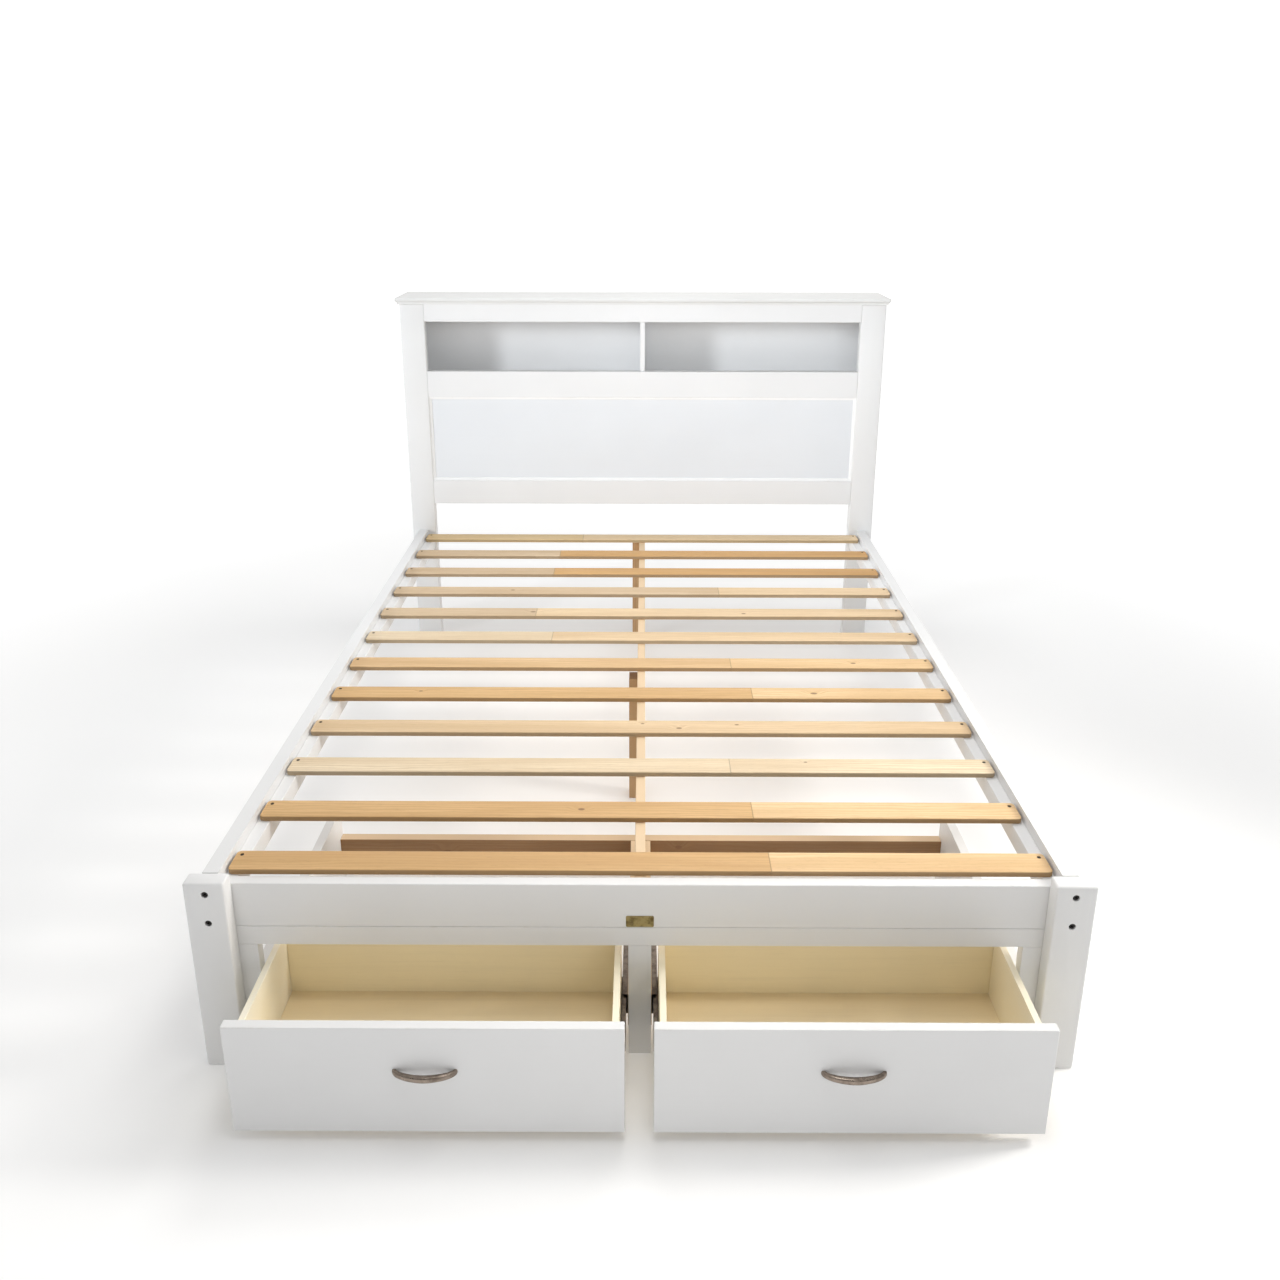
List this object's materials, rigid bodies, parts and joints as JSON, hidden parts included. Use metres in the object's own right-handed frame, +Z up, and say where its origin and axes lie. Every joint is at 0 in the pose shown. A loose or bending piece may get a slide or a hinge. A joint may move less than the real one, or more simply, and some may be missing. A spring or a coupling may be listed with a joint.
{
  "type": "storage bed frame",
  "caption": "White wooden slatted bed frame with a bookcase headboard of open cubbies and wide foot-end drawers that slide out on telescopic runners.",
  "frame": {"origin": "on the floor, at the middle of the whole bed's bounding box with the drawers in their rest position", "axes": "+X to the right as seen from the foot end, +Y towards the headboard, +Z up"},
  "size_m": [1.67, 2.487, 1.227],
  "materials": {
    "white_paint": "satin white paint on solid wood",
    "slat_wood": "clear-sanded, finger-jointed",
    "pine": "bare sanded",
    "drawer_lining": "cream lacquer",
    "handle_metal": "satin nickel",
    "slide_steel": "dark zinc",
    "brass": "aged satin",
    "fastener_steel": "black oxide"
  },
  "bodies": {
    "bed_frame": {"headboard_stile_left": "white_paint", "headboard_stile_right": "white_paint", "headboard_side_left": "white_paint", "headboard_side_right": "white_paint", "headboard_top_rail": "white_paint", "headboard_mid_rail": "white_paint", "headboard_bottom_rail": "white_paint", "headboard_panel": "white_paint", "headboard_back": "white_paint", "headboard_shelf": "white_paint", "headboard_divider": "white_paint", "headboard_cap": "white_paint", "headboard_bead": "white_paint", "side_rail_left": "white_paint", "side_rail_right": "white_paint", "slat_cleats": "white_paint", "foot_post_left": "white_paint", "foot_post_right": "white_paint", "foot_rail": "white_paint", "drawer_header": "white_paint", "foot_stile_left": "white_paint", "foot_stile_right": "white_paint", "foot_stile_centre": "white_paint", "foot_plate": "brass", "slat_01": "slat_wood", "slat_02": "slat_wood", "slat_03": "slat_wood", "slat_04": "slat_wood", "slat_05": "slat_wood", "slat_06": "slat_wood", "slat_07": "slat_wood", "slat_08": "slat_wood", "slat_09": "slat_wood", "slat_10": "slat_wood", "slat_11": "slat_wood", "slat_12": "slat_wood", "centre_beam": "pine", "centre_leg_middle": "pine", "centre_leg_head": "pine", "bay_side_left": "white_paint", "bay_side_right": "white_paint", "bay_centre_boards": "pine", "bay_rear_board": "pine", "slide_channels": "slide_steel", "frame_bolts": "fastener_steel", "slat_screws": "fastener_steel"},
    "drawer_left": {"drawer_left_front": "white_paint", "drawer_left_sides": "white_paint", "drawer_left_back": "drawer_lining", "drawer_left_bottom": "drawer_lining", "drawer_left_handle": "handle_metal", "drawer_left_runners": "slide_steel"},
    "drawer_right": {"drawer_right_front": "white_paint", "drawer_right_sides": "white_paint", "drawer_right_back": "drawer_lining", "drawer_right_bottom": "drawer_lining", "drawer_right_handle": "handle_metal", "drawer_right_runners": "slide_steel"},
    "slide_middle_left": {"slide_middles_left": "slide_steel"},
    "slide_middle_right": {"slide_middles_right": "slide_steel"}
  },
  "joints": [
    {"name": "drawer_left_slide", "type": "slide", "parent": "bed_frame", "child": "drawer_left", "axis": [0, -1, 0], "range_m": [-0.208, 0.042]},
    {"name": "drawer_right_slide", "type": "slide", "parent": "bed_frame", "child": "drawer_right", "axis": [0, -1, 0], "range_m": [-0.208, 0.042]},
    {"name": "slide_middle_left_travel", "type": "slide", "parent": "bed_frame", "child": "slide_middle_left", "axis": [0, -1, 0], "range_m": [-0.104, 0.021]},
    {"name": "slide_middle_right_travel", "type": "slide", "parent": "bed_frame", "child": "slide_middle_right", "axis": [0, -1, 0], "range_m": [-0.104, 0.021]}
  ],
  "couplings": [
    {"joint": "slide_middle_left_travel", "follows": "drawer_left_slide", "ratio": 0.5},
    {"joint": "slide_middle_right_travel", "follows": "drawer_right_slide", "ratio": 0.5}
  ]
}
